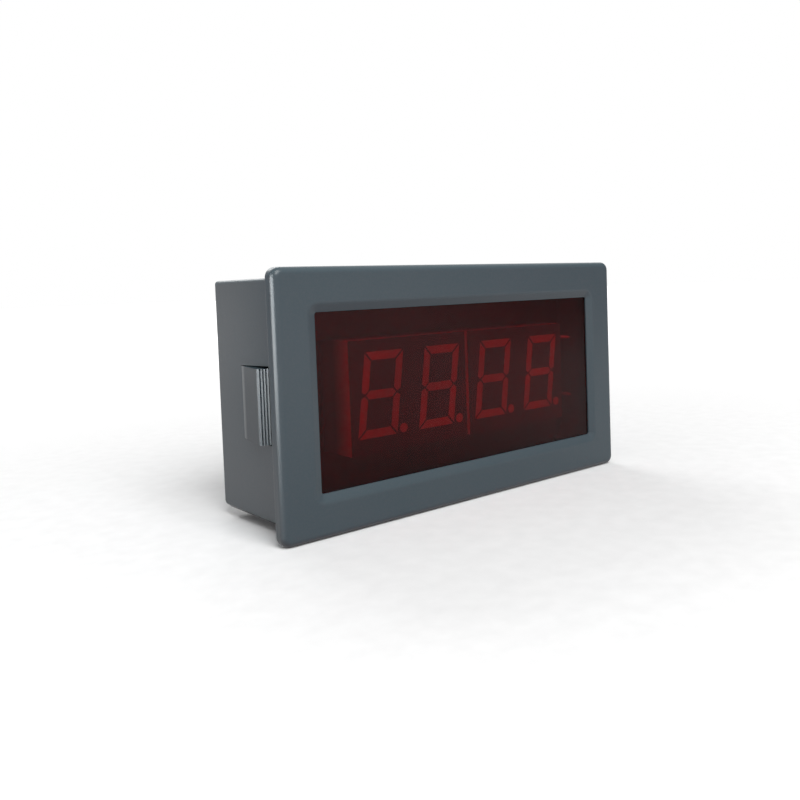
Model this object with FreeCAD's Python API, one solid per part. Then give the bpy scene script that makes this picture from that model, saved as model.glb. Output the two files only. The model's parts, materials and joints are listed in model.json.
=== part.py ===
import FreeCAD, Part
import os

# Digital panel meter: a snap-in case with four seven-segment digits behind a red window.
# Frame in millimetres: X to the right seen from the front, Y into the panel, Z up.
# Origin: the centre of the bezel's back face, which lies on the panel.

# Front case: bezel and tub in one moulding
BEZEL_W = 79.0
BEZEL_H = 42.0
BEZEL_T = 2.4
BEZEL_CORNER_R = 1.6
BEZEL_EDGE_R = 1.1
BEZEL_BACK_R = 0.25
TUB_W = 73.0
TUB_H = 39.0
TUB_DEPTH = 23.0
TUB_WALL = 1.7
TUB_CORNER_R = 0.6
LOWER_REAR_CHAMFER = 1.4
UPPER_REAR_R = 0.5
CORNER_POST = 1.8
POST_OVERLAP = 0.2
POST_CLEARANCE = 0.4

# Window in the bezel
WINDOW_W = 64.5
WINDOW_H = 28.0
WINDOW_CORNER_R = 0.4
WINDOW_BEVEL_W = 1.4
WINDOW_BEVEL_DEPTH = 0.55
WINDOW_BEVEL_R = 1.5
FRONT_WALL = 0.8

# Red filter behind the window
FILTER_T = 1.2
FILTER_LAP = 1.3
FILTER_GAP = 0.1

# Display modules, two digits each
DISPLAY_D = 8.0
DISPLAY_H = 18.7
DISPLAY_SIDE = 0.1
DISPLAY_SEAM = 0.7
DISPLAY_SHIFT_X = 0.15
DISPLAY_SHIFT_Z = -0.3
DISPLAY_GAP = 0.2
DISPLAY_RECESS = 1.5
DISPLAY_RIM = 1.0
RESIN_INSET = 0.5
DIGIT_PITCH = 12.7
DIGIT_W = 8.0
DIGIT_H = 14.1
DIGIT_LEAN = 1.9
DIGIT_RAISE = 0.3
SEGMENT_W = 1.4
SEGMENT_GAP = 0.22
SEGMENT_TIP_RISE = 0.25
SEGMENT_TIP_GAP = 0.7
POINT_D = 1.6
POINT_OFFSET = 1.4
DISPLAY_PIN_COUNT = 9
DISPLAY_PIN_ROWS = 15.24
DISPLAY_PIN_W = 0.5
DISPLAY_PIN_T = 0.3
DISPLAY_PIN_OUT = 0.5

# Circuit board
BOARD_T = 1.6
BOARD_GAP_X = 0.5
BOARD_GAP_Z = 0.2
BOARD_HOLE_GAP = 0.12
PIN_PITCH = 2.54

# Board rests: ribs on the top and bottom walls of the tub
REST_RIB_W = 1.4
REST_RIB_H = 1.5
REST_RIB_X = 28.0

# Side clips
CLIP_H = 12.0
CLIP_Z = -0.6
CLIP_ROOT_Y = 14.3
CLIP_PEAK_Y = 6.3
CLIP_FOOT_Y = 5.5
CLIP_OUT = 1.6
CLIP_SINK = 0.1
CLIP_TIP_T = 2.1
CLIP_ROOT_R = 0.6
CLIP_ROOT_SKIN = 0.2
CLIP_ROOT_GAP = 0.06
CLIP_SLIT_ROOT = 0.08
CLIP_SLIT_TOP = 0.35
CLIP_SLIT_BOTTOM = 0.2
CLIP_END_GAP = 0.35
CLIP_SEAM = 0.03
CLIP_RIBS = 4
CLIP_RIB_DEPTH = 0.25
CLIP_RIB_CREST = 0.6

# Rear cover
COVER_T = 1.6
COVER_GAP = 0.12
PILLAR_D = 2.0
PILLAR_INSET_X = 1.2
PILLAR_INSET_Z = 7.6
PILLAR_GAP = 0.1
HOOK_W = 5.0
HOOK_T = 1.0
HOOK_X = 22.0
HOOK_REACH = 4.6
HOOK_BARB = 0.9
HOOK_BARB_L = 1.3
HOOK_BARB_TIP = 0.2
HOOK_GAP = 0.2
VENT_COUNT = 8
VENT_PITCH = 6.0
VENT_W = 1.6
VENT_L = 9.0
VENT_END_SLACK = 0.01

# Terminal strip
POLES = 4
POLE_PITCH = 7.62
STRIP_W = 9.4
STRIP_BASE = 6.0
STRIP_BARRIER = 5.4
STRIP_BARRIER_T = 1.2
STRIP_RECESS = 0.8
STRIP_RIM = 1.0
STRIP_BACK_T = 1.2
STRIP_CHIP_GAP = 1.2
WIRE_BAY_LIP = 1.5
TERMINAL_GAP = 0.4
CONTACT_T = 0.8
CONTACT_W = 5.8
CONTACT_L = 7.6
TAIL_W = 1.0
CLAMP_T = 0.8
CLAMP_SIDE = 5.8
CLAMP_TRIM = 0.4
CLAMP_GROOVE_W = 0.5
CLAMP_GROOVE_D = 0.25
CLAMP_GROOVE_Z = 2.05
SCREW_R = 1.5
SCREW_L = 6.0
SCREW_GAP = 0.05
SCREW_WELL_GAP = 0.3
SCREW_HEAD_R = 2.75
SCREW_HEAD_H = 1.9
SCREW_HEAD_ROUND = 0.45
SCREW_SLOT_W = 0.8
SCREW_SLOT_D = 1.0
NECK_GAP = 0.08

# Converter chip
CHIP_PINS = 20
CHIP_L = 52.0
CHIP_W = 13.6
CHIP_T = 3.8
CHIP_DRAFT = 0.35
CHIP_ROWS = 15.24
CHIP_STANDOFF = 0.9
CHIP_EDGE = 1.2
CHIP_LEAD_W = 0.5
CHIP_LEAD_T = 0.3
CHIP_NOTCH_R = 1.3

# Trimmer
TRIMMER_L = 9.5
TRIMMER_W = 4.8
TRIMMER_H = 10.0
TRIMMER_STANDOFF = 0.4
TRIMMER_FOOT_R = 0.5
TRIMMER_FOOT_INSET = 0.7
TRIMMER_SCREW_R = 1.1
TRIMMER_SCREW_OUT = 1.1
TRIMMER_SCREW_DEPTH = 2.0
TRIMMER_SCREW_INSET = 1.9
TRIMMER_SLOT_W = 0.5
TRIMMER_SLOT_D = 0.6
TRIMMER_FIT = 0.05
TRIMMER_HOLE_GAP = 0.7

# Small components on the board
CAN_COUNT = 2
RESISTOR_COUNT = 3
CAN_D = 4.0
CAN_H = 7.2
CAN_STANDOFF = 0.2
CAN_GROOVE = 0.3
CAN_GROOVE_Y = 1.1
CAN_GROOVE_W = 0.6
CAN_LOWER_EDGE = 0.2
CAN_UPPER_EDGE = 0.3
FILM_L = 7.2
FILM_EDGE_R = 0.5
FILM_W = 2.6
FILM_H = 6.4
FILM_STANDOFF = 0.7
RESISTOR_L = 3.6
RESISTOR_D = 1.8
RESISTOR_WAIST_D = 1.5
RESISTOR_END_SHARE = 0.7
RESISTOR_NECK_SHARE = 1.3
RESISTOR_STANDOFF = 1.0
RESISTOR_LOOP = 1.0
LEAD_D = 0.5
LEAD_SINK = 0.5
REGULATOR_W = 4.6
REGULATOR_D = 3.6
REGULATOR_H = 4.6
REGULATOR_LEG = 3.0
PART_GAP = 0.5
SMALL_ROW_DROP = 9.1

# Tolerances for picking edges by their place
TOLERANCE = 1e-6
NEARNESS = 1e-3

# Planes along Y
FRONT_Y = -BEZEL_T
FILTER_Y0 = FRONT_Y + FRONT_WALL
FILTER_Y1 = FILTER_Y0 + FILTER_T
DISPLAY_Y0 = FILTER_Y1 + DISPLAY_GAP
BOARD_Y0 = DISPLAY_Y0 + DISPLAY_D
BOARD_Y1 = BOARD_Y0 + BOARD_T
COVER_Y1 = TUB_DEPTH
COVER_Y0 = COVER_Y1 - COVER_T

# Half sizes of the inside of the tub, the board and the cover
INNER_X = TUB_W / 2 - TUB_WALL
INNER_Z = TUB_H / 2 - TUB_WALL
BOARD_X = INNER_X - BOARD_GAP_X
BOARD_Z = INNER_Z - BOARD_GAP_Z
COVER_X = INNER_X - COVER_GAP
COVER_Z = INNER_Z - COVER_GAP

# Display modules
MODULE_W = 2 * DIGIT_PITCH - 2 * DISPLAY_SIDE
MODULE_STEP = MODULE_W + DISPLAY_SEAM
DIGIT_Z = DISPLAY_SHIFT_Z + DIGIT_RAISE

# Converter chip, against the upper edge of the board
CHIP_Z = BOARD_Z - CHIP_EDGE - CHIP_ROWS / 2
CHIP_Y0 = BOARD_Y1 + CHIP_STANDOFF

# Terminal strip, below the chip
STRIP_L = POLES * POLE_PITCH + STRIP_BARRIER_T
STRIP_Z1 = CHIP_Z - CHIP_ROWS / 2 - CHIP_LEAD_T / 2 - STRIP_CHIP_GAP
STRIP_Z0 = STRIP_Z1 - STRIP_W
STRIP_TOP = BOARD_Y1 + STRIP_BASE
STRIP_X = -(POLES - 1) / 2 * POLE_PITCH
SCREW_Z = STRIP_Z0 + (STRIP_W - STRIP_BACK_T) / 2
CLAMP_Y0 = STRIP_TOP + CONTACT_T
HEAD_Y0 = CLAMP_Y0 + CLAMP_T

# Row of small parts on both sides of the strip's lower half
SMALL_ROW_Z = STRIP_Z1 - SMALL_ROW_DROP

# Trimmer, to the right of the terminal strip
TRIMMER_X0 = STRIP_L / 2 + TERMINAL_GAP
TRIMMER_Z = STRIP_Z1 - TRIMMER_W / 2
TRIMMER_Y0 = BOARD_Y1 + TRIMMER_STANDOFF
TRIMMER_Y1 = TRIMMER_Y0 + TRIMMER_H
TRIMMER_SCREW_X = TRIMMER_X0 + TRIMMER_L - TRIMMER_SCREW_INSET


def vec(x, y, z):
    return FreeCAD.Vector(x, y, z)


def box(x0, x1, y0, y1, z0, z1):
    return Part.makeBox(x1 - x0, y1 - y0, z1 - z0, vec(x0, y0, z0))


def rod_y(r, y0, y1, x, z):
    return Part.makeCylinder(r, y1 - y0, vec(x, y0, z), vec(0, 1, 0))


def rod_z(r, z0, z1, x, y):
    return Part.makeCylinder(r, z1 - z0, vec(x, y, z0), vec(0, 0, 1))


def prism_y(points, y0, y1):
    """A solid between two planes across Y, from an outline of (x, z) points."""
    corners = [vec(x, y0, z) for x, z in points]
    wire = Part.makePolygon(corners + corners[:1])
    return Part.Face(wire).extrude(vec(0, y1 - y0, 0))


def prism_z(points, z0, z1):
    """A solid between two planes across Z, from an outline of (x, y) points."""
    corners = [vec(x, y, z0) for x, y in points]
    wire = Part.makePolygon(corners + corners[:1])
    return Part.Face(wire).extrude(vec(0, 0, z1 - z0))


def prism_x(points, x0, x1):
    """A solid between two planes across X, from an outline of (y, z) points."""
    corners = [vec(x0, y, z) for y, z in points]
    wire = Part.makePolygon(corners + corners[:1])
    return Part.Face(wire).extrude(vec(x1 - x0, 0, 0))


def edges_along(shape, axis, keep):
    """Straight edges parallel to an axis (0, 1 or 2) whose middle passes the test."""
    found = []
    for edge in shape.Edges:
        if len(edge.Vertexes) != 2:
            continue
        span = edge.Vertexes[1].Point - edge.Vertexes[0].Point
        others = [span[k] for k in range(3) if k != axis]
        if abs(span[axis]) > TOLERANCE and max(abs(v) for v in others) < TOLERANCE:
            if keep(edge.CenterOfMass):
                found.append(edge)
    return found


def edges_in_plane(shape, y):
    """All edges that lie wholly in the plane at y."""
    box_of = [edge.BoundBox for edge in shape.Edges]
    return [e for e, b in zip(shape.Edges, box_of)
            if abs(b.YMin - y) < TOLERANCE and abs(b.YMax - y) < TOLERANCE]


def rounded_slab(w, h, y0, y1, r):
    """A rectangular block across Y with rounded corners."""
    slab = box(-w / 2, w / 2, y0, y1, -h / 2, h / 2)
    return slab.makeFillet(r, edges_along(slab, 1, lambda c: True))


def export(name, shape):
    shape.exportStep("parts/" + name + ".step")


def bezel():
    """The frame that shows in front of the panel, without its window."""
    slab = rounded_slab(BEZEL_W, BEZEL_H, FRONT_Y, 0, BEZEL_CORNER_R)
    slab = slab.makeFillet(BEZEL_EDGE_R, edges_in_plane(slab, FRONT_Y))
    return slab.makeFillet(BEZEL_BACK_R, edges_in_plane(slab, 0))


def rounded_outline(w, h, y, r):
    """The outline of a rectangle with rounded corners, in the plane at y."""
    return Part.Wire(Part.__sortEdges__(edges_in_plane(rounded_slab(w, h, y, y + 1, r), y)))


def window_cutter():
    """The window opening with its shallow bevel, as a solid to take away."""
    hole = rounded_slab(WINDOW_W, WINDOW_H, FRONT_Y - 1, FILTER_Y0 + 1, WINDOW_CORNER_R)
    inner = rounded_outline(WINDOW_W, WINDOW_H, FRONT_Y + WINDOW_BEVEL_DEPTH, WINDOW_CORNER_R)
    outer = rounded_outline(WINDOW_W + 2 * WINDOW_BEVEL_W, WINDOW_H + 2 * WINDOW_BEVEL_W, FRONT_Y,
                            WINDOW_CORNER_R + WINDOW_BEVEL_W)
    return hole.fuse(Part.makeLoft([outer, inner], True, True))


def bevel_rim(case):
    """The edges where the window's bevel meets the bezel's front face."""
    half_w = WINDOW_W / 2 + WINDOW_BEVEL_W
    half_h = WINDOW_H / 2 + WINDOW_BEVEL_W
    edges = [(edge, edge.CenterOfMass) for edge in edges_in_plane(case, FRONT_Y)]
    return [e for e, c in edges if abs(c.x) < half_w + NEARNESS and abs(c.z) < half_h + NEARNESS]


def tub():
    """The closed-sided box behind the panel, still solid."""
    block = box(-TUB_W / 2, TUB_W / 2, -BEZEL_T / 2, TUB_DEPTH, -TUB_H / 2, TUB_H / 2)
    block = block.makeFillet(TUB_CORNER_R, edges_along(block, 1, lambda c: c.z > 0))
    block = block.makeChamfer(TUB_CORNER_R, edges_along(block, 1, lambda c: c.z < 0))
    lower = [(TUB_DEPTH - LOWER_REAR_CHAMFER, -TUB_H / 2 - 1),
             (TUB_DEPTH + 1, -TUB_H / 2 - 1),
             (TUB_DEPTH + 1, -TUB_H / 2 + LOWER_REAR_CHAMFER + 1),
             (TUB_DEPTH - LOWER_REAR_CHAMFER - 1, -TUB_H / 2 - 1)]
    block = block.cut(prism_x(lower, -TUB_W, TUB_W))
    upper = edges_along(block, 0, lambda c: c.z > TUB_H / 2 - NEARNESS and c.y > TUB_DEPTH - NEARNESS)
    return block.makeFillet(UPPER_REAR_R, upper)


def clip_window(side):
    """The hole through a side wall that the clip lies in: its slits widen towards the bezel."""
    x0, x1 = sorted((side * (INNER_X - 1), side * (TUB_W / 2 + 1)))
    top = CLIP_Z + CLIP_H / 2
    bottom = CLIP_Z - CLIP_H / 2
    front = CLIP_FOOT_Y - CLIP_END_GAP
    outline = [(front, top + CLIP_SLIT_TOP), (CLIP_ROOT_Y, top + CLIP_SLIT_ROOT),
               (CLIP_ROOT_Y, bottom - CLIP_SLIT_ROOT), (front, bottom - CLIP_SLIT_BOTTOM)]
    root = rod_z(CLIP_ROOT_R + CLIP_ROOT_GAP, bottom - CLIP_SLIT_ROOT, top + CLIP_SLIT_ROOT,
                 side * clip_root_x(), CLIP_ROOT_Y)
    return prism_x(outline, x0, x1).fuse(root)


def clip_root_x():
    return TUB_W / 2 - CLIP_ROOT_R - CLIP_ROOT_SKIN


def hook_slots():
    """Through slots in the top and bottom walls for the cover's hooks."""
    y1 = COVER_Y0 - HOOK_REACH + HOOK_BARB_L + HOOK_GAP
    y0 = COVER_Y0 - HOOK_REACH - HOOK_GAP
    half = HOOK_W / 2 + HOOK_GAP
    slots = []
    for side in (-1, 1):
        for x in (-HOOK_X, HOOK_X):
            z0, z1 = sorted((side * (INNER_Z - 1), side * (TUB_H / 2 + 1)))
            slots.append(box(x - half, x + half, y0, y1, z0, z1))
    return slots


def front_case():
    cavity = box(-INNER_X, INNER_X, FILTER_Y1, TUB_DEPTH + 1, -INNER_Z, INNER_Z)
    seat_x = WINDOW_W / 2 + FILTER_LAP + FILTER_GAP
    seat_z = WINDOW_H / 2 + FILTER_LAP + FILTER_GAP
    seat = box(-seat_x, seat_x, FILTER_Y0, FILTER_Y1 + 1, -seat_z, seat_z)
    case = bezel().fuse(tub()).cut(cavity).cut(seat).cut(window_cutter())
    for x in (-1, 1):
        for z in (-1, 1):
            x0, x1 = sorted((x * (INNER_X - CORNER_POST), x * (INNER_X + TUB_WALL / 2)))
            z0, z1 = sorted((z * (INNER_Z - CORNER_POST), z * (INNER_Z + TUB_WALL / 2)))
            case = case.fuse(box(x0, x1, FILTER_Y1 - POST_OVERLAP, COVER_Y0, z0, z1))
    for z in (-1, 1):
        z0, z1 = sorted((z * (INNER_Z - REST_RIB_H), z * (INNER_Z + TUB_WALL / 2)))
        for x in (-REST_RIB_X, 0, REST_RIB_X):
            rib = box(x - REST_RIB_W / 2, x + REST_RIB_W / 2, FILTER_Y1 - POST_OVERLAP, BOARD_Y0, z0, z1)
            case = case.fuse(rib)
    for side in (-1, 1):
        case = case.cut(clip_window(side))
    for slot in hook_slots():
        case = case.cut(slot)
    case = case.removeSplitter()
    return case.makeFillet(WINDOW_BEVEL_R, bevel_rim(case))


def window_filter():
    x = WINDOW_W / 2 + FILTER_LAP
    z = WINDOW_H / 2 + FILTER_LAP
    return box(-x, x, FILTER_Y0, FILTER_Y1, -z, z)


def clip_outline(side):
    """Clip section in X and Y: ramp, ribbed catch face and the inner face back to the root."""
    wall = TUB_W / 2
    points = [(clip_root_x(), CLIP_ROOT_Y - CLIP_SEAM), (wall, CLIP_ROOT_Y - CLIP_SEAM),
              (wall + CLIP_OUT, CLIP_PEAK_Y)]
    step_x = (CLIP_OUT + CLIP_SINK) / CLIP_RIBS
    step_y = (CLIP_PEAK_Y - CLIP_FOOT_Y) / CLIP_RIBS
    for k in range(CLIP_RIBS):
        x = wall + CLIP_OUT - k * step_x
        y = CLIP_PEAK_Y - k * step_y
        points.append((x - step_x * CLIP_RIB_CREST, y - step_y * CLIP_RIB_CREST - CLIP_RIB_DEPTH))
        points.append((x - step_x, y - step_y))
    points.append((wall + CLIP_OUT - CLIP_TIP_T, CLIP_FOOT_Y))
    points.append((clip_root_x() - CLIP_ROOT_R, CLIP_ROOT_Y - CLIP_SEAM))
    return [(side * x, y) for x, y in points]


def side_clip(side):
    z0 = CLIP_Z - CLIP_H / 2
    z1 = CLIP_Z + CLIP_H / 2
    tongue = prism_z(clip_outline(side), z0, z1)
    root = rod_z(CLIP_ROOT_R, z0, z1, side * clip_root_x(), CLIP_ROOT_Y)
    return tongue.fuse(root).removeSplitter()


def cover_hook(x, side):
    """A snap hook on the rear cover: a thin arm with a ramped barb at its end."""
    y0 = COVER_Y0 - HOOK_REACH
    z_out = INNER_Z - HOOK_GAP
    points = [(COVER_Y0, z_out), (COVER_Y0, z_out - HOOK_T), (y0, z_out - HOOK_T), (y0, z_out),
              (y0 + HOOK_BARB_L - HOOK_BARB_TIP, z_out + HOOK_BARB), (y0 + HOOK_BARB_L, z_out + HOOK_BARB),
              (y0 + HOOK_BARB_L, z_out)]
    return prism_x([(y, side * z) for y, z in points], x - HOOK_W / 2, x + HOOK_W / 2)


def rear_cover():
    plate = box(-COVER_X, COVER_X, COVER_Y0, COVER_Y1, -COVER_Z, COVER_Z)
    for x in (-1, 1):
        for z in (-1, 1):
            px = x * (BOARD_X - PILLAR_INSET_X)
            pz = z * (BOARD_Z - PILLAR_INSET_Z)
            plate = plate.fuse(rod_y(PILLAR_D / 2, BOARD_Y1 + PILLAR_GAP, COVER_Y0, px, pz))
    for side in (-1, 1):
        for x in (-HOOK_X, HOOK_X):
            plate = plate.fuse(cover_hook(x, side))
    opening_x = STRIP_L / 2 + TERMINAL_GAP
    opening = box(-opening_x, opening_x, COVER_Y0 - 1, COVER_Y1 + 1,
                  -INNER_Z + WIRE_BAY_LIP, STRIP_Z1 + TERMINAL_GAP)
    plate = plate.cut(opening)
    hole_r = TRIMMER_SCREW_R + TRIMMER_HOLE_GAP
    plate = plate.cut(rod_y(hole_r, COVER_Y0 - 1, COVER_Y1 + 1, TRIMMER_SCREW_X, TRIMMER_Z))
    for k in range(VENT_COUNT):
        x = (k - (VENT_COUNT - 1) / 2) * VENT_PITCH
        z0 = CHIP_Z - VENT_L / 2
        slot = box(x - VENT_W / 2, x + VENT_W / 2, COVER_Y0 - 1, COVER_Y1 + 1, z0, z0 + VENT_L)
        plate = plate.cut(slot.makeFillet(VENT_W / 2 - VENT_END_SLACK, edges_along(slot, 1, lambda c: True)))
    return plate.removeSplitter()


def lean(z):
    """Sideways offset of a digit's point at height z above the digit's middle."""
    return z * DIGIT_LEAN / DIGIT_H


def digit_segments(x, z):
    """Outlines of one digit's seven segments, each with mitred ends and a gap to the next."""
    hw = DIGIT_W / 2
    hh = DIGIT_H / 2
    s = SEGMENT_W
    g = SEGMENT_GAP
    top = [(-hw + g, hh), (hw - g, hh), (hw - s - g, hh - s), (-hw + s + g, hh - s)]
    middle = [(-hw + s / 2 + g, 0), (-hw + s + g, s / 2), (hw - s - g, s / 2),
              (hw - s / 2 - g, 0), (hw - s - g, -s / 2), (-hw + s + g, -s / 2)]
    tip = g * SEGMENT_TIP_GAP
    side = [(hw, hh - g), (hw, s * SEGMENT_TIP_RISE + g), (hw - s / 2, tip), (hw - s, s / 2 + tip),
            (hw - s, hh - s - g)]
    outlines = [top, [(a, -b) for a, b in top], middle]
    for sx in (-1, 1):
        for sz in (-1, 1):
            outlines.append([(sx * a, sz * b) for a, b in side])
    return [[(x + a + lean(b), z + b) for a, b in line] for line in outlines]


def module_x(k):
    return DISPLAY_SHIFT_X + (k - 0.5) * MODULE_STEP


def segment_cores(k, y1):
    """The light-carrying bars and points of module k, from the face back to y1."""
    bars = []
    for d in (-0.5, 0.5):
        x = module_x(k) + d * DIGIT_PITCH
        for outline in digit_segments(x, DIGIT_Z):
            bars.append(prism_y(outline, DISPLAY_Y0, y1))
        px = x + DIGIT_W / 2 + POINT_OFFSET + lean(-DIGIT_H / 2)
        pz = DIGIT_Z - DIGIT_H / 2 + POINT_D / 2
        bars.append(rod_y(POINT_D / 2, DISPLAY_Y0, y1, px, pz))
    return bars


def display_shell(k):
    """Module k's white housing with a cavity for every segment and a recess at the back."""
    x = module_x(k)
    z = DISPLAY_SHIFT_Z
    half = MODULE_W / 2
    shell = box(x - half, x + half, DISPLAY_Y0, BOARD_Y0, z - DISPLAY_H / 2, z + DISPLAY_H / 2)
    return shell.cut(module_recess(k, BOARD_Y0)).cut(segment_cores(k, BOARD_Y0))


def module_recess(k, y1):
    x = module_x(k)
    z = DISPLAY_SHIFT_Z
    half_w = MODULE_W / 2 - DISPLAY_RIM
    half_h = DISPLAY_H / 2 - DISPLAY_RIM
    return box(x - half_w, x + half_w, BOARD_Y0 - DISPLAY_RECESS, y1, z - half_h, z + half_h)


def display_segments(k):
    """Module k's resin: a slab in the back recess with a bar in every segment cavity."""
    slab = module_recess(k, BOARD_Y0 - RESIN_INSET)
    return slab.fuse(segment_cores(k, BOARD_Y0 - DISPLAY_RECESS)).removeSplitter()


def display_pin_places(k):
    places = []
    for row in (-0.5, 0.5):
        for n in range(DISPLAY_PIN_COUNT):
            x = module_x(k) + (n - (DISPLAY_PIN_COUNT - 1) / 2) * PIN_PITCH
            places.append((x, DISPLAY_SHIFT_Z + row * DISPLAY_PIN_ROWS))
    return places


def display_pins(k):
    y0 = BOARD_Y0 - RESIN_INSET
    y1 = BOARD_Y1 + DISPLAY_PIN_OUT
    w = DISPLAY_PIN_W / 2
    t = DISPLAY_PIN_T / 2
    return Part.makeCompound([box(x - w, x + w, y0, y1, z - t, z + t) for x, z in display_pin_places(k)])


def chip_lead_places():
    places = []
    for row in (-1, 1):
        for n in range(CHIP_PINS):
            places.append(((n - (CHIP_PINS - 1) / 2) * PIN_PITCH, row))
    return places


def converter_chip():
    """Dual-in-line package with drafted sides and an end notch."""
    half_l = CHIP_L / 2
    half_w = CHIP_W / 2
    mid = CHIP_Y0 + CHIP_T / 2
    edge = half_w - CHIP_DRAFT
    end = [(CHIP_Y0, -edge), (mid, -half_w), (CHIP_Y0 + CHIP_T, -edge),
           (CHIP_Y0 + CHIP_T, edge), (mid, half_w), (CHIP_Y0, edge)]
    body = prism_x([(y, CHIP_Z + z) for y, z in end], -half_l, half_l)
    notch = rod_y(CHIP_NOTCH_R, mid, CHIP_Y0 + CHIP_T + 1, -half_l, CHIP_Z)
    return body.cut(notch)


def converter_chip_leads():
    leads = []
    mid = CHIP_Y0 + CHIP_T / 2
    t = CHIP_LEAD_T / 2
    for x, row in chip_lead_places():
        z_in = CHIP_W / 2
        z_out = CHIP_ROWS / 2
        bend = [(mid - t, z_in), (mid + t, z_in), (mid + t, z_out + t), (BOARD_Y0, z_out + t),
                (BOARD_Y0, z_out - t), (mid - t, z_out - t)]
        outline = [(y, CHIP_Z + row * z) for y, z in bend]
        leads.append(prism_x(outline, x - CHIP_LEAD_W / 2, x + CHIP_LEAD_W / 2))
    return Part.makeCompound(leads)


def pole_x(k):
    return STRIP_X + k * POLE_PITCH


def terminal_strip():
    """Barrier strip: base with contact seats, walls between the poles and a closed back wall."""
    half = STRIP_L / 2
    base = box(-half, half, BOARD_Y1, STRIP_TOP, STRIP_Z0, STRIP_Z1)
    barrier_top = STRIP_TOP + STRIP_BARRIER
    strip = base.fuse(box(-half, half, STRIP_TOP, barrier_top, STRIP_Z1 - STRIP_BACK_T, STRIP_Z1))
    for k in range(POLES + 1):
        x = pole_x(0) + (k - 0.5) * POLE_PITCH
        wall = box(x - STRIP_BARRIER_T / 2, x + STRIP_BARRIER_T / 2, STRIP_TOP, barrier_top,
                   STRIP_Z0, STRIP_Z1)
        strip = strip.fuse(wall)
    under = box(-half - 1, half + 1, BOARD_Y1 - 1, BOARD_Y1 + STRIP_RECESS,
                STRIP_Z0 + STRIP_RIM, STRIP_Z1 - STRIP_RIM)
    strip = strip.cut(under)
    for k in range(POLES):
        well_y0 = HEAD_Y0 - SCREW_L - SCREW_WELL_GAP
        strip = strip.cut(rod_y(SCREW_R + SCREW_WELL_GAP, well_y0, STRIP_TOP + 1, pole_x(k), SCREW_Z))
        strip = strip.cut(tail_slot(k))
    return strip.removeSplitter()


def tail_z():
    return STRIP_Z1 - STRIP_BACK_T - CONTACT_T


def tail_slot(k):
    w = TAIL_W / 2 + NECK_GAP
    return box(pole_x(k) - w, pole_x(k) + w, BOARD_Y1 - 1, STRIP_TOP + 1, tail_z() - NECK_GAP,
               tail_z() + CONTACT_T)


def terminal_contact(k):
    """Brass plate under the screw, with a tail through the strip and the board."""
    x = pole_x(k)
    half = CONTACT_W / 2
    z1 = tail_z() + CONTACT_T
    plate = box(x - half, x + half, STRIP_TOP, CLAMP_Y0, z1 - CONTACT_L, z1)
    tail = box(x - TAIL_W / 2, x + TAIL_W / 2, BOARD_Y0, CLAMP_Y0, tail_z(), z1)
    hole = rod_y(SCREW_R + SCREW_GAP, STRIP_TOP - 1, CLAMP_Y0 + 1, x, SCREW_Z)
    return plate.fuse(tail).cut(hole).removeSplitter()


def wire_clamp(k):
    """Square clamp plate with a grip groove near two edges, loose on the screw's neck."""
    x = pole_x(k)
    half = CLAMP_SIDE / 2
    z0 = SCREW_Z - half + CLAMP_TRIM
    z1 = SCREW_Z + half - CLAMP_TRIM
    plate = box(x - half, x + half, CLAMP_Y0, HEAD_Y0, z0, z1)
    cuts = rod_y(SCREW_R + SCREW_GAP, CLAMP_Y0 - 1, HEAD_Y0 + 1, x, SCREW_Z)
    grip = CLAMP_GROOVE_W / 2
    grooves = [box(x - half - 1, x + half + 1, CLAMP_Y0 - 1, CLAMP_Y0 + CLAMP_GROOVE_D, z - grip, z + grip)
               for z in (SCREW_Z - CLAMP_GROOVE_Z, SCREW_Z + CLAMP_GROOVE_Z)]
    return plate.cut([cuts] + grooves)


def terminal_screw(k):
    """Pan-head screw with a straight slot; its shank ends in the strip's well."""
    x = pole_x(k)
    head = rod_y(SCREW_HEAD_R, HEAD_Y0, HEAD_Y0 + SCREW_HEAD_H, x, SCREW_Z)
    head = head.makeFillet(SCREW_HEAD_H * SCREW_HEAD_ROUND, edges_in_plane(head, HEAD_Y0 + SCREW_HEAD_H))
    shank = rod_y(SCREW_R, HEAD_Y0 - SCREW_L, HEAD_Y0, x, SCREW_Z)
    slot = box(x - SCREW_HEAD_R - 1, x + SCREW_HEAD_R + 1, HEAD_Y0 + SCREW_HEAD_H - SCREW_SLOT_D,
               HEAD_Y0 + SCREW_HEAD_H + 1, SCREW_Z - SCREW_SLOT_W / 2, SCREW_Z + SCREW_SLOT_W / 2)
    return head.fuse(shank).cut(slot).removeSplitter()


def trimmer_body():
    body = box(TRIMMER_X0, TRIMMER_X0 + TRIMMER_L, TRIMMER_Y0, TRIMMER_Y1,
               TRIMMER_Z - TRIMMER_W / 2, TRIMMER_Z + TRIMMER_W / 2)
    foot_z = TRIMMER_W / 2 - TRIMMER_FOOT_INSET
    for x in (TRIMMER_X0 + TRIMMER_FOOT_INSET, TRIMMER_X0 + TRIMMER_L - TRIMMER_FOOT_INSET):
        for z in (TRIMMER_Z - foot_z, TRIMMER_Z + foot_z):
            body = body.fuse(rod_y(TRIMMER_FOOT_R, BOARD_Y1, TRIMMER_Y0, x, z))
    well = rod_y(TRIMMER_SCREW_R + TRIMMER_FIT, TRIMMER_Y1 - TRIMMER_SCREW_DEPTH, TRIMMER_Y1 + 1,
                 TRIMMER_SCREW_X, TRIMMER_Z)
    return body.cut(well)


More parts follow.
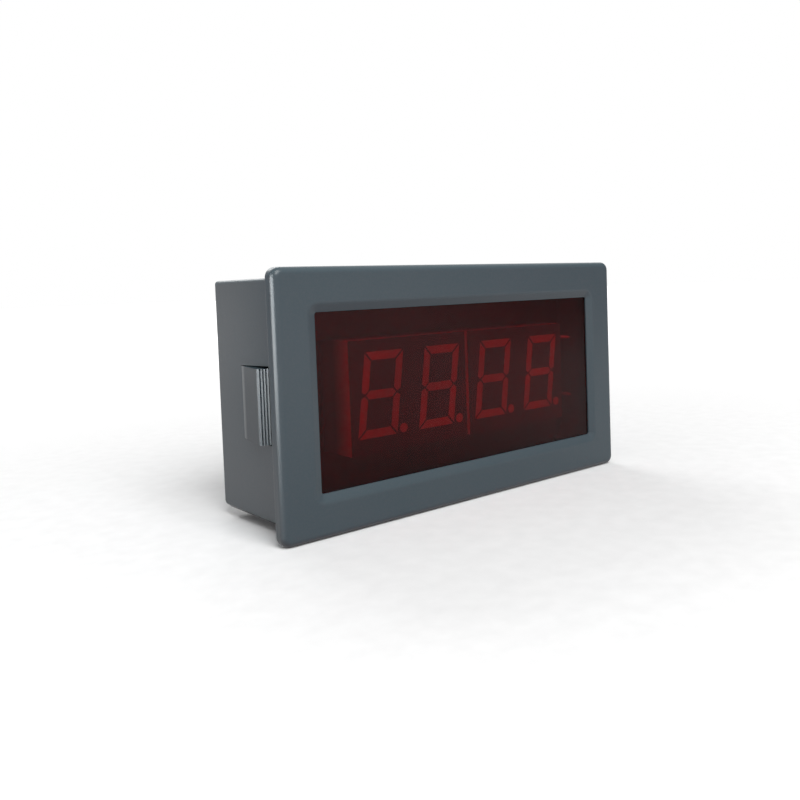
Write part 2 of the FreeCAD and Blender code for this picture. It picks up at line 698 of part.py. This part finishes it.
def trimmer_screw():
    y1 = TRIMMER_Y1 + TRIMMER_SCREW_OUT
    screw = rod_y(TRIMMER_SCREW_R, TRIMMER_Y1 - TRIMMER_SCREW_DEPTH, y1, TRIMMER_SCREW_X, TRIMMER_Z)
    slot = box(TRIMMER_SCREW_X - 2, TRIMMER_SCREW_X + 2, y1 - TRIMMER_SLOT_D, y1 + 1,
               TRIMMER_Z - TRIMMER_SLOT_W / 2, TRIMMER_Z + TRIMMER_SLOT_W / 2)
    return screw.cut(slot)


def trimmer_pin_places():
    x = TRIMMER_X0 + TRIMMER_L / 2
    return [(x - PIN_PITCH, TRIMMER_Z), (x, TRIMMER_Z), (x + PIN_PITCH, TRIMMER_Z)]


def trimmer_pins():
    h = LEAD_D / 2
    return Part.makeCompound([box(x - h, x + h, BOARD_Y0, TRIMMER_Y0, z - h, z + h)
                              for x, z in trimmer_pin_places()])


def can_place(k):
    x = -STRIP_L / 2 - TERMINAL_GAP - CAN_D / 2 - k * (CAN_D + PART_GAP)
    return x, STRIP_Z1 - TERMINAL_GAP - CAN_D / 2


def can_lead_places(k):
    x, z = can_place(k)
    return [(x - PIN_PITCH / 2, z), (x + PIN_PITCH / 2, z)]


def lead(x, z, y1):
    h = LEAD_D / 2
    return box(x - h, x + h, BOARD_Y0, y1, z - h, z + h)


def electrolytic_capacitor(k):
    """Upright can with a rolled groove above its rubber bung, and two leads."""
    x, z = can_place(k)
    y0 = BOARD_Y1 + CAN_STANDOFF
    r = CAN_D / 2
    groove = y0 + CAN_GROOVE_Y
    top = y0 + CAN_H
    profile = [(0, y0), (r - CAN_LOWER_EDGE, y0), (r, y0 + CAN_LOWER_EDGE), (r, groove),
               (r - CAN_GROOVE, groove + CAN_GROOVE_W / 2), (r, groove + CAN_GROOVE_W),
               (r, top - CAN_UPPER_EDGE), (r - CAN_UPPER_EDGE, top), (0, top)]
    corners = [vec(x + a, b, z) for a, b in profile]
    face = Part.Face(Part.makePolygon(corners + corners[:1]))
    can = face.revolve(vec(x, 0, z), vec(0, 1, 0), 360)
    return can.fuse([lead(lx, lz, y0 + LEAD_SINK) for lx, lz in can_lead_places(k)]).removeSplitter()


def film_place():
    x = -STRIP_L / 2 - TERMINAL_GAP - FILM_L / 2
    return x, STRIP_Z1 - TERMINAL_GAP - CAN_D - PART_GAP - FILM_W / 2


def film_lead_places():
    x, z = film_place()
    return [(x - PIN_PITCH, z), (x + PIN_PITCH, z)]


def film_capacitor():
    x, z = film_place()
    y0 = BOARD_Y1 + FILM_STANDOFF
    body = box(x - FILM_L / 2, x + FILM_L / 2, y0, y0 + FILM_H, z - FILM_W / 2, z + FILM_W / 2)
    body = body.makeFillet(FILM_EDGE_R, edges_along(body, 1, lambda c: True))
    return body.fuse([lead(lx, lz, y0 + LEAD_D) for lx, lz in film_lead_places()]).removeSplitter()


def resistor_place(k):
    """Two upright resistors stand beside the regulator, the others beside the film capacitor."""
    r = RESISTOR_D / 2
    if k < 2:
        return TRIMMER_X0 + REGULATOR_W + PART_GAP + r + k * (RESISTOR_D + PART_GAP), SMALL_ROW_Z
    film_x0 = film_place()[0] - FILM_L / 2
    return film_x0 - PART_GAP - r - (k - 2) * (RESISTOR_D + PART_GAP), SMALL_ROW_Z


def resistor_lead_places(k):
    x, z = resistor_place(k)
    return [(x, z), (x, z + PIN_PITCH)]


def resistor(k):
    """Upright axial resistor: a waisted body whose upper lead loops over and down to the board."""
    x, z = resistor_place(k)
    y = BOARD_Y1 + RESISTOR_STANDOFF + RESISTOR_L / 2
    r = RESISTOR_D / 2
    w = RESISTOR_WAIST_D / 2
    h = RESISTOR_L / 2
    cap = RESISTOR_L / 4
    end = r * RESISTOR_END_SHARE
    neck = h - cap * RESISTOR_NECK_SHARE
    profile = [(0, -h), (end, -h), (r, -h + cap / 3), (r, -h + cap), (w, -neck),
               (w, neck), (r, h - cap), (r, h - cap / 3), (end, h), (0, h)]
    corners = [vec(x + a, y + b, z) for a, b in profile]
    body = Part.Face(Part.makePolygon(corners + corners[:1])).revolve(vec(x, y, z), vec(0, 1, 0), 360)
    t = LEAD_D / 2
    top = y + h + RESISTOR_LOOP
    loop = [lead(px, pz, top) for px, pz in resistor_lead_places(k)]
    loop.append(box(x - t, x + t, top - LEAD_D, top, z - t, z + PIN_PITCH + t))
    return body.fuse(loop).removeSplitter()


def regulator_place():
    return TRIMMER_X0 + REGULATOR_W / 2, SMALL_ROW_Z


def regulator_lead_places():
    x, z = regulator_place()
    return [(x - PIN_PITCH / 2, z), (x, z), (x + PIN_PITCH / 2, z)]


def voltage_regulator():
    """Small three-legged package with one flat face."""
    x, z = regulator_place()
    y0 = BOARD_Y1 + REGULATOR_LEG
    body = rod_y(REGULATOR_W / 2, y0, y0 + REGULATOR_H, x, z)
    flat = box(x - REGULATOR_W, x + REGULATOR_W, y0 - 1, y0 + REGULATOR_H + 1,
               z - REGULATOR_W, z + REGULATOR_W / 2 - REGULATOR_D)
    body = body.cut(flat)
    return body.fuse([lead(lx, lz, y0 + LEAD_SINK) for lx, lz in regulator_lead_places()]).removeSplitter()


def square_holes(places, w, t):
    """Holes through the board for flat or square leads."""
    g = BOARD_HOLE_GAP
    return [box(x - w / 2 - g, x + w / 2 + g, BOARD_Y0 - 1, BOARD_Y1 + 1, z - t / 2 - g, z + t / 2 + g)
            for x, z in places]


def circuit_board():
    cut = CORNER_POST + POST_CLEARANCE
    x = BOARD_X
    z = BOARD_Z
    outline = [(-x + cut, -z), (x - cut, -z), (x - cut, -z + cut), (x, -z + cut), (x, z - cut),
               (x - cut, z - cut), (x - cut, z), (-x + cut, z), (-x + cut, z - cut), (-x, z - cut),
               (-x, -z + cut), (-x + cut, -z + cut)]
    board = prism_y(outline, BOARD_Y0, BOARD_Y1)
    holes = []
    for k in range(2):
        holes += square_holes(display_pin_places(k), DISPLAY_PIN_W, DISPLAY_PIN_T)
    chip = [(px, CHIP_Z + row * CHIP_ROWS / 2) for px, row in chip_lead_places()]
    holes += square_holes(chip, CHIP_LEAD_W, CHIP_LEAD_T)
    tails = [(pole_x(k), tail_z() + CONTACT_T / 2) for k in range(POLES)]
    holes += square_holes(tails, TAIL_W, CONTACT_T)
    small = trimmer_pin_places() + regulator_lead_places() + film_lead_places()
    for k in range(CAN_COUNT):
        small += can_lead_places(k)
    for k in range(RESISTOR_COUNT):
        small += resistor_lead_places(k)
    holes += square_holes(small, LEAD_D, LEAD_D)
    return board.cut(holes)


def build():
    os.makedirs("parts", exist_ok=True)
    export("front_case", front_case())
    export("window_filter", window_filter())
    export("rear_cover", rear_cover())
    export("circuit_board", circuit_board())
    for k, hand in enumerate(("left", "right")):
        export("side_clip_" + hand, side_clip(2 * k - 1))
        export("display_shell_" + hand, display_shell(k))
        export("display_segments_" + hand, display_segments(k))
        export("display_pins_" + hand, display_pins(k))
    export("converter_chip", converter_chip())
    export("converter_chip_leads", converter_chip_leads())
    export("terminal_strip", terminal_strip())
    for k in range(POLES):
        number = str(k + 1)
        export("terminal_contact_" + number, terminal_contact(k))
        export("wire_clamp_" + number, wire_clamp(k))
        export("terminal_screw_" + number, terminal_screw(k))
    export("trimmer_body", trimmer_body())
    export("trimmer_screw", trimmer_screw())
    export("trimmer_pins", trimmer_pins())
    for k in range(CAN_COUNT):
        export("electrolytic_capacitor_" + str(k + 1), electrolytic_capacitor(k))
    export("film_capacitor", film_capacitor())
    for k in range(RESISTOR_COUNT):
        export("resistor_" + str(k + 1), resistor(k))
    export("voltage_regulator", voltage_regulator())


build()
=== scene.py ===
import json
import math

import bpy
from mathutils import Matrix, Vector


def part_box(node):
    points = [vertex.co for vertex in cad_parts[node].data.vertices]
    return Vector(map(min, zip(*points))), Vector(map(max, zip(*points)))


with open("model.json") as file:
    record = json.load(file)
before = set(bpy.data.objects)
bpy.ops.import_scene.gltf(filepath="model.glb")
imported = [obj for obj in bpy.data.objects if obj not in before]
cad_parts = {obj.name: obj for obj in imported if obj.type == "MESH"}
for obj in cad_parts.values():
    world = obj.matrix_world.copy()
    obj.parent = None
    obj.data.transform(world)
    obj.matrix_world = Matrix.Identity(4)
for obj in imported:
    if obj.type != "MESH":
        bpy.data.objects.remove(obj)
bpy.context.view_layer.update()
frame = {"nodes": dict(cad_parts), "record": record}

MM = 0.001

# Camera, fitted to the outlines of the bezel and the body in the photograph
CAMERA_PLACE = Vector((-98.26, -106.54, 17.34)) * MM
CAMERA_RIGHT = Vector((0.76639, -0.64138, -0.03568))
CAMERA_DOWN = Vector((-0.05945, -0.01551, -0.99811))
CAMERA_AHEAD = Vector((0.63962, 0.76707, -0.05002))
CAMERA_NEAREST = 0.005
CAMERA_FARTHEST = 20.0
FRAME_PIXELS = 800.0
FOCAL_PIXELS = 808.3
CENTRE_X = 422.5
CENTRE_Y = 326.9
SENSOR_MM = 36.0

# The front face of the display and the height on which the meter stands, from the CAD
face_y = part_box("display_shell_left")[0].y
stand_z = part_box("front_case")[0].z

# The clip ramps are duller than the case: where that sets in, outward and into the depth
RAMP_OUTWARD = (0.0366, 0.0368)
RAMP_DEPTH = (0.0062, 0.0066)
CASE_SHEEN = 0.5
RAMP_SHEEN = 0.08

# The display's dark print ends just behind its face; painted shade darkens its sides toward
# the board
PRINT_END = (0.00005, 0.00008)
PAINTED_SIDE_SHADE = (0.0006, 0.0045)

# Nearly all of a noise's values lie between these two
NOISE_LOW = 0.3
NOISE_HIGH = 0.7

# The colour sockets of the mix node, which has other sockets of the same names
MIX_FACTOR, MIX_A, MIX_B, MIX_RESULT = 0, 6, 7, 2

METALS = {
    # slot: light tone, dark tone, lowest and highest roughness
    "tinned_lead": ((0.68, 0.68, 0.66), (0.50, 0.50, 0.49), 0.25, 0.45),
    "contact_brass": ((0.72, 0.52, 0.22), (0.58, 0.40, 0.16), 0.22, 0.4),
    "plated_steel": ((0.66, 0.67, 0.68), (0.52, 0.53, 0.54), 0.25, 0.42),
}
METAL_SCALE = 1800

PLASTICS = {
    # slot: light tone, dark tone, mean roughness
    "chip_resin": ((0.030, 0.030, 0.032), (0.016, 0.016, 0.018), 0.55),
    "black_plastic": ((0.028, 0.028, 0.030), (0.016, 0.016, 0.017), 0.38),
    "blue_plastic": ((0.025, 0.115, 0.42), (0.018, 0.085, 0.34), 0.4),
    "capacitor_sleeve": ((0.022, 0.028, 0.055), (0.014, 0.018, 0.040), 0.3),
    "film_capacitor_coat": ((0.36, 0.045, 0.028), (0.28, 0.03, 0.02), 0.28),
    "resistor_lacquer": ((0.26, 0.42, 0.52), (0.20, 0.34, 0.44), 0.35),
}
PLASTIC_SCALE = 2400
PLASTIC_ROUGH_SPREAD = 0.06

# What the world gives to the rays that don't see it as white
WORLD_LEVEL = 0.26

LAMPS = (
    # name, place, target, size in metres, watts, seen in reflections only
    ("side panel", (-0.44, 0.0, 0.11), (0, 0, 0.06), (0.38, 0.24), 1.8, True),
    ("low side panel", (-0.15, 0.0, stand_z + 0.003), (-0.03, 0, 0), (0.12, 0.12), 0.40, True),
    ("key", (-0.10, -0.36, 0.40), (0, 0, 0), (0.35, 0.35), 3.1, False),
    ("back", (0.1, 0.5, 0.4), (0, 0, 0), (0.4, 0.3), 1.2, False),
)

CARDS = (
    # name, place, size in metres, turn in degrees, tone at either end
    ("wall_card", (-0.147, 0.124, 0.06), (0.19, 0.17), (90, 0, 142.3),
     (0.06, 0.22, 0.34), (0.06, 0.22, 0.34)),
    ("right_card", (0.34, -0.13, 0.12), (0.40, 0.36), (90, 0, 78),
     (0.78, 0.80, 0.82), (0.06, 0.06, 0.07)),
)

# The floor lies a hair below the meter, and its glow sets in over two rings around it
FLOOR_SIZE = 8.0
FLOOR_GAP = 0.00005
NEAR_RING = (0.05, 0.30)
NEAR_GLOW = 0.4
FAR_RING = (0.30, 0.60)
FAR_GLOW = 0.6


class Shader:
    """A material's node tree that is put together one node at a time."""

    def __init__(self, name):
        self.material = bpy.data.materials.new(name)
        self.material.use_nodes = True
        self.tree = self.material.node_tree
        self.tree.nodes.clear()

    def add(self, kind, values=None, **settings):
        """Add a node; settings are its properties, values its inputs by name or number."""
        node = self.tree.nodes.new(kind)
        for key, value in settings.items():
            setattr(node, key, value)
        for key, value in (values or {}).items():
            self.feed(node, key, value)
        return node

    def feed(self, node, key, value):
        """Link an input to a socket, or set it to a number or a colour."""
        socket = node.inputs[key]
        if isinstance(value, bpy.types.NodeSocket):
            self.tree.links.new(value, socket)
        elif isinstance(value, tuple) and len(value) == 3 and socket.type == "RGBA":
            socket.default_value = (*value, 1.0)
        else:
            socket.default_value = value

    def place(self):
        """Position on the object in the row frame, in metres."""
        return self.add("ShaderNodeTexCoord").outputs["Object"]

    def axes(self):
        """The same position as three numbers, by X, Y and Z."""
        return self.add("ShaderNodeSeparateXYZ", {0: self.place()}).outputs

    def noise(self, scale, detail=3.0, rough=0.5, place=None):
        """Cloudy values, scale of them to a metre."""
        values = {"Vector": place or self.place(), "Scale": scale, "Detail": detail,
                  "Roughness": rough}
        return self.add("ShaderNodeTexNoise", values).outputs["Fac"]

    def stretch(self, fac, low, high, out_low=0.0, out_high=1.0):
        """Map low and high to out_low and out_high, and stop there."""
        values = {"Value": fac, "From Min": low, "From Max": high, "To Min": out_low,
                  "To Max": out_high}
        return self.add("ShaderNodeMapRange", values).outputs["Result"]

    def spread(self, noise, low=0.0, high=1.0):
        """Map nearly all of a noise to low and high."""
        return self.stretch(noise, NOISE_LOW, NOISE_HIGH, low, high)

    def mix(self, fac, a, b):
        """The colour a where the factor is 0 and b where it is 1."""
        node = self.add("ShaderNodeMix", data_type="RGBA")
        self.feed(node, MIX_FACTOR, fac)
        self.feed(node, MIX_A, a)
        self.feed(node, MIX_B, b)
        return node.outputs[MIX_RESULT]

    def reckon(self, operation, a, b=0.0):
        """One sum with numbers."""
        return self.add("ShaderNodeMath", {0: a, 1: b}, operation=operation).outputs[0]

    def bump(self, height, distance, strength=1.0):
        """A normal from a height, whose full rise is a distance in metres."""
        values = {"Height": height, "Distance": distance, "Strength": strength}
        return self.add("ShaderNodeBump", values).outputs["Normal"]

    def finish(self, **values):
        """Close the tree with one principled surface."""
        named = {key.replace("_", " "): value for key, value in values.items()}
        surface = self.add("ShaderNodeBsdfPrincipled", named)
        self.add("ShaderNodeOutputMaterial", {"Surface": surface.outputs["BSDF"]})
        return self.material


def case_plastic():
    """Grey moulded plastic with a fine spark-eroded texture; the clip ramps are duller."""
    s = Shader("case_plastic")
    grain = s.noise(scale=3600, detail=4.0, rough=0.6)
    cloud = s.stretch(s.noise(scale=70), 0.25, 0.75)
    tint = s.mix(cloud, (0.043, 0.073, 0.088), (0.048, 0.076, 0.091))
    color = s.mix(s.stretch(grain, 0.4, 0.75, out_high=0.4), tint, (0.070, 0.090, 0.102))
    rough = s.stretch(s.noise(scale=900, detail=2.0), 0.15, 0.85, out_low=0.28, out_high=0.32)
    normal = s.bump(grain, distance=0.00003, strength=0.35)
    axes = s.axes()
    on_ramp = s.reckon("MULTIPLY", s.stretch(s.reckon("ABSOLUTE", axes["X"]), *RAMP_OUTWARD),
                       s.stretch(axes["Y"], *RAMP_DEPTH))
    sheen = s.stretch(on_ramp, 0.0, 1.0, CASE_SHEEN, RAMP_SHEEN)
    return s.finish(Base_Color=color, Roughness=rough, Normal=normal, IOR=1.4,
                    Specular_IOR_Level=sheen)


def red_filter():
    """Dark red transparent sheet with a lightly matt, grainy face."""
    s = Shader("red_filter")
    grain = s.noise(scale=4200, detail=4.0, rough=0.7)
    cloud = s.stretch(s.noise(scale=90), 0.35, 0.65)
    color = s.mix(cloud, (0.36, 0.010, 0.014), (0.42, 0.013, 0.018))
    normal = s.bump(grain, distance=0.00002, strength=0.7)
    return s.finish(Base_Color=color, Roughness=0.14, Normal=normal, IOR=1.2,
                    Transmission_Weight=0.985)


def display_plastic():
    """White housing whose front face is printed dark; painted shade darkens its bare sides
    toward the board.
    """
    s = Shader("display_plastic")
    y = s.axes()["Y"]
    printed = s.stretch(y, *[face_y + depth for depth in PRINT_END], out_low=1.0, out_high=0.0)
    speckle = s.spread(s.noise(scale=2600))
    bare = s.mix(speckle, (0.74, 0.72, 0.68), (0.80, 0.79, 0.75))
    dark = s.mix(speckle, (0.030, 0.030, 0.032), (0.042, 0.042, 0.045))
    # Painted shade: the bare sides fade to dark grey deeper in, where less light reaches them
    painted_shade_mask = s.stretch(y, *[face_y + depth for depth in PAINTED_SIDE_SHADE])
    sides_with_painted_shade = s.mix(painted_shade_mask, bare, (0.16, 0.15, 0.14))
    normal = s.bump(s.noise(scale=3200), distance=0.00002, strength=0.4)
    return s.finish(Base_Color=s.mix(printed, sides_with_painted_shade, dark), Roughness=0.5, Normal=normal)


def segment_resin():
    """Milky resin in the segment cavities, unlit."""
    s = Shader("segment_resin")
    color = s.mix(s.spread(s.noise(scale=700)), (0.42, 0.35, 0.32), (0.50, 0.44, 0.41))
    normal = s.bump(s.noise(scale=1500), distance=0.00002, strength=0.3)
    return s.finish(Base_Color=color, Roughness=0.35, Normal=normal)


def metal(name, light, dark, rough_low, rough_high):
    """Plated or bare metal with fine drawing marks and dull patches."""
    s = Shader(name)
    color = s.mix(s.spread(s.noise(METAL_SCALE, detail=4.0)), light, dark)
    rough = s.spread(s.noise(METAL_SCALE * 0.6), rough_low, rough_high)
    normal = s.bump(s.noise(METAL_SCALE * 3), distance=0.00001, strength=0.4)
    return s.finish(Base_Color=color, Roughness=rough, Metallic=1.0, Normal=normal)


def moulded(name, light, dark, rough):
    """Moulded or dipped plastic of one colour with a fine grain."""
    s = Shader(name)
    grain = s.noise(PLASTIC_SCALE)
    color = s.mix(s.spread(grain), dark, light)
    rough = s.spread(s.noise(PLASTIC_SCALE * 0.2), rough - PLASTIC_ROUGH_SPREAD,
                     rough + PLASTIC_ROUGH_SPREAD)
    normal = s.bump(grain, distance=0.00002, strength=0.5)
    return s.finish(Base_Color=color, Roughness=rough, Normal=normal)


def board_laminate():
    """Green solder mask over a faint net of copper tracks."""
    s = Shader("board_laminate")
    place = s.place()
    weave = s.spread(s.noise(scale=1400, detail=2.0, place=place))
    cells = s.add("ShaderNodeTexVoronoi", {"Vector": place, "Scale": 330.0},
                  distance="MANHATTAN", feature="DISTANCE_TO_EDGE")
    between = s.stretch(cells.outputs["Distance"], 0.10, 0.16)
    mask = s.mix(weave, (0.010, 0.095, 0.035), (0.014, 0.120, 0.045))
    color = s.mix(between, (0.030, 0.190, 0.075), mask)
    normal = s.bump(between, distance=0.00003, strength=0.6)
    return s.finish(Base_Color=color, Roughness=0.3, Normal=normal)


def dress_nodes():
    """Give every carried-over node its material by slot."""
    by_slot = {
        "case_plastic": case_plastic(),
        "red_filter": red_filter(),
        "display_plastic": display_plastic(),
        "segment_resin": segment_resin(),
        "board_laminate": board_laminate(),
    }
    by_slot.update({slot: metal(slot, *look) for slot, look in METALS.items()})
    by_slot.update({slot: moulded(slot, *look) for slot, look in PLASTICS.items()})
    for row in frame["record"]["subparts"]:
        node = frame["nodes"][row["node"]]
        node.data.materials.clear()
        node.data.materials.append(by_slot[row["material_slot"]])


def area_light(name, place, target, size, power, sheen_only):
    """A rectangular lamp; a sheen-only one shows in reflections and adds no plain light."""
    data = bpy.data.lights.new(name, "AREA")
    data.shape = "RECTANGLE"
    data.size, data.size_y = size
    data.energy = power
    lamp = bpy.data.objects.new(name, data)
    lamp.visible_diffuse = not sheen_only
    lamp.visible_camera = False
    lamp.location = place
    lamp.rotation_euler = (Vector(target) - Vector(place)).to_track_quat("-Z", "Y").to_euler()
    bpy.context.scene.collection.objects.link(lamp)


def see_white(tree, dim, bright):
    """A number: bright to camera, glossy and transmitted rays, and dim to the rest."""
    path = tree.nodes.new("ShaderNodeLightPath")
    seen = path.outputs["Is Camera Ray"]
    for other in ("Is Glossy Ray", "Is Transmission Ray"):
        join = tree.nodes.new("ShaderNodeMath")
        join.operation = "MAXIMUM"
        tree.links.new(seen, join.inputs[0])
        tree.links.new(path.outputs[other], join.inputs[1])
        seen = join.outputs[0]
    level = tree.nodes.new("ShaderNodeMapRange")
    tree.links.new(seen, level.inputs["Value"])
    level.inputs["To Min"].default_value = dim
    level.inputs["To Max"].default_value = bright
    return level.outputs["Result"]


def floor_paint():
    """Dull mauve table that the camera, metal and glass see as glowing white paper.

    The glow sets in away from the meter, so that its shadow stays on the paper.
    """
    s = Shader("floor_paint")
    shown = see_white(s.tree, 0.0, 1.0)
    grain = s.spread(s.noise(scale=300))
    table = s.mix(grain, (0.36, 0.11, 0.11), (0.40, 0.13, 0.13))
    paper = s.mix(grain, (0.86, 0.86, 0.86), (0.90, 0.90, 0.90))
    away = s.add("ShaderNodeVectorMath", {0: s.place()}, operation="LENGTH").outputs["Value"]
    glow = s.reckon("ADD", s.stretch(away, *NEAR_RING, out_high=NEAR_GLOW),
                    s.stretch(away, *FAR_RING, out_high=FAR_GLOW))
    return s.finish(Base_Color=s.mix(shown, table, paper), Roughness=0.9,
                    Emission_Color=(1.0, 1.0, 1.0),
                    Emission_Strength=s.reckon("MULTIPLY", glow, shown))


def card_paint(name, near, far):
    """Matt paint whose tone runs from one end of a card to the other."""
    s = Shader(name)
    tone = s.mix(s.stretch(s.axes()["X"], -0.5, 0.5), near, far)
    speck = s.spread(s.noise(scale=60), high=0.06)
    return s.finish(Base_Color=s.mix(speck, tone, (0.0, 0.0, 0.0)), Roughness=0.9)


def card(name, place, size, turn, near, far):
    """A standing sheet beside the object that shows only as a mirror image."""
    bpy.ops.mesh.primitive_plane_add(size=1.0, location=place)
    sheet = bpy.context.object
    sheet.name = name
    sheet.scale = (*size, 1.0)
    sheet.rotation_euler = [math.radians(angle) for angle in turn]
    sheet.data.materials.append(card_paint(name + "_paint", near, far))
    sheet.visible_camera = False
    sheet.visible_diffuse = False
    sheet.visible_shadow = False


def studio():
    """World, lamps, floor and cards."""
    world = bpy.data.worlds.new("studio")
    world.use_nodes = True
    bpy.context.scene.world = world
    background = world.node_tree.nodes["Background"]
    background.inputs["Color"].default_value = (1.0, 1.0, 1.0, 1.0)
    world.node_tree.links.new(see_white(world.node_tree, WORLD_LEVEL, 1.0),
                              background.inputs["Strength"])
    for lamp in LAMPS:
        area_light(*lamp)

    bpy.ops.mesh.primitive_plane_add(size=FLOOR_SIZE, location=(0, 0, stand_z - FLOOR_GAP))
    floor = bpy.context.object
    floor.name = "floor"
    floor.data.materials.append(floor_paint())
    for sheet in CARDS:
        card(*sheet)


def camera():
    """The photograph's camera: its place, direction, focal length and picture centre."""
    data = bpy.data.cameras.new("camera")
    data.sensor_width = SENSOR_MM
    data.lens = FOCAL_PIXELS / FRAME_PIXELS * SENSOR_MM
    data.shift_x = (FRAME_PIXELS / 2 - CENTRE_X) / FRAME_PIXELS
    data.shift_y = (CENTRE_Y - FRAME_PIXELS / 2) / FRAME_PIXELS
    data.clip_start = CAMERA_NEAREST
    data.clip_end = CAMERA_FARTHEST
    eye = bpy.data.objects.new("camera", data)
    turn = Matrix((CAMERA_RIGHT, -CAMERA_DOWN, -CAMERA_AHEAD)).transposed()
    eye.matrix_world = Matrix.Translation(CAMERA_PLACE) @ turn.to_4x4()
    bpy.context.scene.collection.objects.link(eye)
    bpy.context.scene.camera = eye


bpy.context.scene.view_settings.view_transform = "Standard"
dress_nodes()
studio()
camera()
